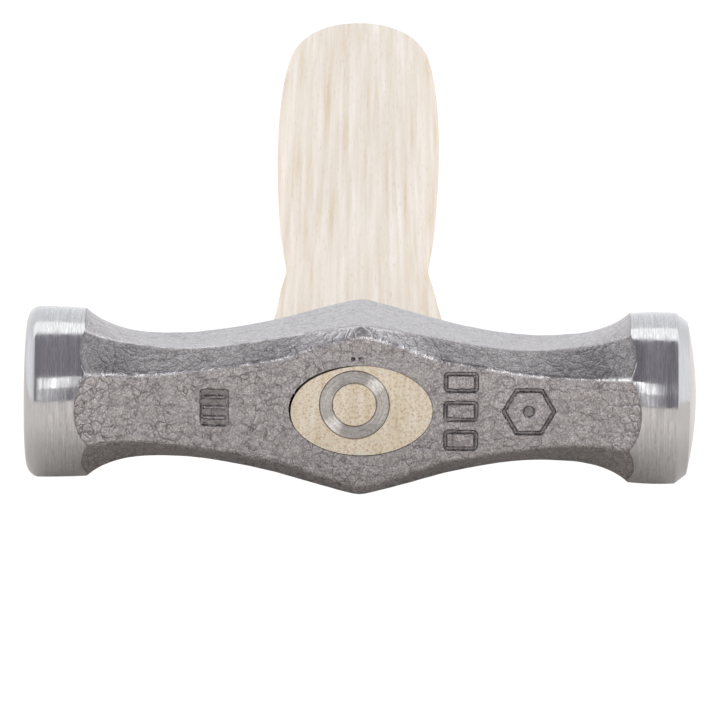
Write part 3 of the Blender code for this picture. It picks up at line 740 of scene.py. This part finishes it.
def makeRing():
    # a wall profile (radius, depth) turned about the ring's own axis
    s, r = handleSettings, ringSettings
    front = -headSettings["eyeHalfDepth"] + s["tenonInset"]
    inner, outer = s["ringBore"], s["ringRadius"]
    edge = r["edge"]
    face = np.linspace(inner + edge, outer - edge, 61)
    groove = r["grooveDepth"] * (1 - np.cos((face - inner) / (outer - inner) * 2 * np.pi * r["grooves"])) / 2
    corner = np.linspace(0, np.pi / 2, 6)[1:-1]
    profile = [(outer - edge + edge * math.sin(a), edge - edge * math.cos(a)) for a in corner]
    outerTip = inner + r["tipFlare"] + r["tipWall"]
    profile += [(outer, edge), (outerTip, s["ringLength"]), (inner + r["tipFlare"], s["ringLength"])]
    profile += [(inner, edge)]
    profile += [(inner + edge - edge * math.sin(a), edge - edge * math.cos(a)) for a in corner[::-1]]
    radius = np.concatenate([face, [p[0] for p in profile]])
    depth = np.concatenate([groove, [p[1] for p in profile]])
    turn = 2 * np.pi * np.arange(r["lines"]) / r["lines"]
    x = s["ringX"] + radius[:, None] * np.cos(turn)
    z = s["ringZ"] + radius[:, None] * np.sin(turn)
    y = np.repeat((front + depth)[:, None], len(turn), axis=1)
    points = np.stack([x, y, z], axis=-1).reshape(-1, 3) + headCentre
    n, m = len(radius), len(turn)
    ring, line = np.arange(n)[:, None], np.arange(m)[None, :]
    nextRing, nextLine = (ring + 1) % n, (line + 1) % m
    corners = [ring * m + line, nextRing * m + line, nextRing * m + nextLine, ring * m + nextLine]
    faces = np.stack([np.broadcast_to(c, (n, m)) for c in corners], axis=-1).reshape(-1, 4)
    mesh = bpy.data.meshes.new("ringWedge")
    mesh.from_pydata((points * mm).tolist(), [], faces.tolist())
    mesh.materials.append(turnedSteel)
    mesh.shade_smooth()
    mesh.set_sharp_from_angle(angle=math.radians(40))
    made = bpy.data.objects.new("ringWedge", mesh)
    bpy.context.scene.collection.objects.link(made)
    return made


ringWedge = makeRing()
print("ring made")

for piece, node, slot in ((hammerHead, "hammer_head", "forged_steel"), (ashHandle, "handle", "ash_wood"),
                          (ringWedge, "ring_wedge", "turned_steel")):
    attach(piece, "root")
    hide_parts(node)


studio = {
    "cameraElevation": 13.5, "cameraDistance": 1.069, "lens": 325.0, "roll": 0.635,
    "aside": 0.0088, "below": 0.3059,  # degrees that the head sits off the view's middle
}


def makeCamera():
    # looks at the head from its eye side, rolled, then turned up and aside a little
    s = studio
    target = Vector(headCentre * mm)
    up = math.radians(s["cameraElevation"])
    place = target + s["cameraDistance"] * Vector((0, -math.cos(up), math.sin(up)))
    forward = (target - place).normalized()
    right = Vector((1, 0, 0))
    above = right.cross(forward)
    turn = math.radians(s["roll"])
    right, above = (right * math.cos(turn) + above * math.sin(turn),
                    above * math.cos(turn) - right * math.sin(turn))
    upwards, sideways = (math.tan(math.radians(s[k])) for k in ("below", "aside"))
    forward = (forward + above * upwards - right * sideways).normalized()
    right = forward.cross(above).normalized()
    above = right.cross(forward)
    data = bpy.data.cameras.new("camera")
    data.lens, data.sensor_width = s["lens"], 36.0
    data.clip_start, data.clip_end = 0.05, 20.0
    camera = bpy.data.objects.new("camera", data)
    camera.matrix_world = Matrix((
        (right.x, above.x, -forward.x, place.x),
        (right.y, above.y, -forward.y, place.y),
        (right.z, above.z, -forward.z, place.z),
        (0, 0, 0, 1)))
    bpy.context.scene.collection.objects.link(camera)
    bpy.context.scene.camera = camera


def makeFloor():
    # matt white paper, so bright that only the contact shadow shows; what the steel sees of it
    # carries a painted shadow, darker close to the head
    made, tree, shader, output = newMaterial("white paper")
    tree.nodes.remove(shader)
    place = addNode(tree, "ShaderNodeTexCoord").outputs["Object"]
    centred = addNode(tree, "ShaderNodeMapping", {"Location": (0, 1.9, 0), "Scale": (11, 15, 1)},
                      {"Vector": place})
    reach = addNode(tree, "ShaderNodeVectorMath", links={0: centred}, operation="LENGTH")
    paintedShadowFade = {"From Min": 0.35, "From Max": 1.0, "To Min": 0.66, "To Max": 0.92}
    paintedShadow = addNode(tree, "ShaderNodeMapRange", paintedShadowFade, {"Value": reach.outputs["Value"]},
                   interpolation_type="SMOOTHSTEP")
    warm = addNode(tree, "ShaderNodeVectorMath", {0: (1.0, 0.947, 0.89)}, {"Scale": paintedShadow}, operation="SCALE")
    matt = addNode(tree, "ShaderNodeBsdfDiffuse", links={"Color": warm})
    glow = addNode(tree, "ShaderNodeEmission", {"Color": (1, 0.947, 0.89, 1), "Strength": 0.1})
    both = addNode(tree, "ShaderNodeAddShader", links={0: matt, 1: glow})
    white = addNode(tree, "ShaderNodeBsdfDiffuse", {"Color": (0.85, 0.85, 0.85, 1)})
    bright = addNode(tree, "ShaderNodeEmission", {"Color": (1, 1, 1, 1), "Strength": 1.1})
    seen = addNode(tree, "ShaderNodeMixShader", {0: 0.92}, {1: white, 2: bright})
    ray = addNode(tree, "ShaderNodeLightPath")
    mixed = addNode(tree, "ShaderNodeMixShader", links={0: ray.outputs["Is Camera Ray"], 1: both, 2: seen})
    tree.links.new(mixed.outputs[0], output.inputs["Surface"])
    size = 4.0
    mesh = bpy.data.meshes.new("floor")
    corners = [(-size, -size, 0), (size, -size, 0), (size, size, 0), (-size, size, 0)]
    mesh.from_pydata(corners, [], [(0, 1, 2, 3)])
    mesh.materials.append(made)
    floor = bpy.data.objects.new("floor", mesh)
    bpy.context.scene.collection.objects.link(floor)


def softbox(name, azimuth, elevation, distance, width, height, radiance):
    # an area light aimed at the head; azimuth 0 is the camera's side, elevation above the floor
    a, e = math.radians(azimuth), math.radians(elevation)
    away = Vector((math.sin(a) * math.cos(e), -math.cos(a) * math.cos(e), math.sin(e)))
    data = bpy.data.lights.new(name, "AREA")
    data.shape, data.size, data.size_y = "RECTANGLE", width, height
    data.energy = radiance * math.pi * width * height
    light = bpy.data.objects.new(name, data)
    light.location = Vector(headCentre * mm) + away * distance
    light.rotation_mode = "QUATERNION"
    light.rotation_quaternion = away.to_track_quat("Z", "Y")
    light.visible_camera = False
    bpy.context.scene.collection.objects.link(light)


def makeWorld():
    # a white light tent with a dim opening on the camera's side; the camera itself sees white
    world = bpy.data.worlds.new("light tent")
    world.use_nodes = True
    tree = world.node_tree
    background = tree.nodes["Background"]
    direction = addNode(tree, "ShaderNodeTexCoord").outputs["Generated"]
    parts = addNode(tree, "ShaderNodeSeparateXYZ", links={"Vector": direction})
    aside = addNode(tree, "ShaderNodeMath", links={0: parts.outputs["X"]}, operation="ABSOLUTE")
    # from, to, and the level at both: the opening's reach aside and ahead, how its dim middle
    # fades outwards, and how the tent brightens towards the sides
    fades = {"slot": (0.28, 0.48, 1.0, 0.0), "ahead": (0.09, 0.20, 1.0, 0.0),
             "middle": (0.01, 0.09, 0.44, 0.24), "sides": (0.6, 0.85, 1.12, 1.32)}
    level = {}
    for name, numbers in fades.items():
        values = dict(zip(("From Min", "From Max", "To Min", "To Max"), numbers))
        level[name] = addNode(tree, "ShaderNodeMapRange", values,
                              {"Value": parts.outputs["Y"] if name == "ahead" else aside},
                              interpolation_type="LINEAR" if name == "sides" else "SMOOTHSTEP")
    opening = addNode(tree, "ShaderNodeMath", links={0: level["slot"], 1: level["ahead"]},
                      operation="MULTIPLY")
    strength = addNode(tree, "ShaderNodeMix", data_type="FLOAT",
                       links={"Factor": opening, "A": level["sides"], "B": level["middle"]})
    ray = addNode(tree, "ShaderNodeLightPath")
    shown = addNode(tree, "ShaderNodeMix", {"B": 1.0},
                    {"Factor": ray.outputs["Is Camera Ray"], "A": strength.outputs["Result"]},
                    data_type="FLOAT")
    tree.links.new(shown.outputs["Result"], background.inputs["Strength"])
    shade = addNode(tree, "ShaderNodeMix", {"A": (0.985, 0.995, 1.03, 1), "B": (1.0, 0.96, 1.08, 1)},
                    {"Factor": opening}, data_type="RGBA")
    tint = addNode(tree, "ShaderNodeMix", {"B": (1, 1, 1, 1)},
                   {"Factor": ray.outputs["Is Camera Ray"], "A": shade.outputs["Result"]}, data_type="RGBA")
    tree.links.new(tint.outputs["Result"], background.inputs["Color"])
    bpy.context.scene.world = world


makeCamera()
makeFloor()
makeWorld()
softbox("overhead", 180, 71, 1.2, 1.6, 0.56, 0.6)
# two narrow lamps beside the camera give the bright spots on the ground ends
softbox("lamp", -2.5, 24, 1.5, 0.10, 0.36, 4.4)
softbox("lampGlow", -4.5, 9.5, 1.5, 0.10, 0.44, 1.7)
print("studio made")
scene = bpy.context.scene
scene.view_settings.view_transform = "Standard"
scene.view_settings.look = "None"
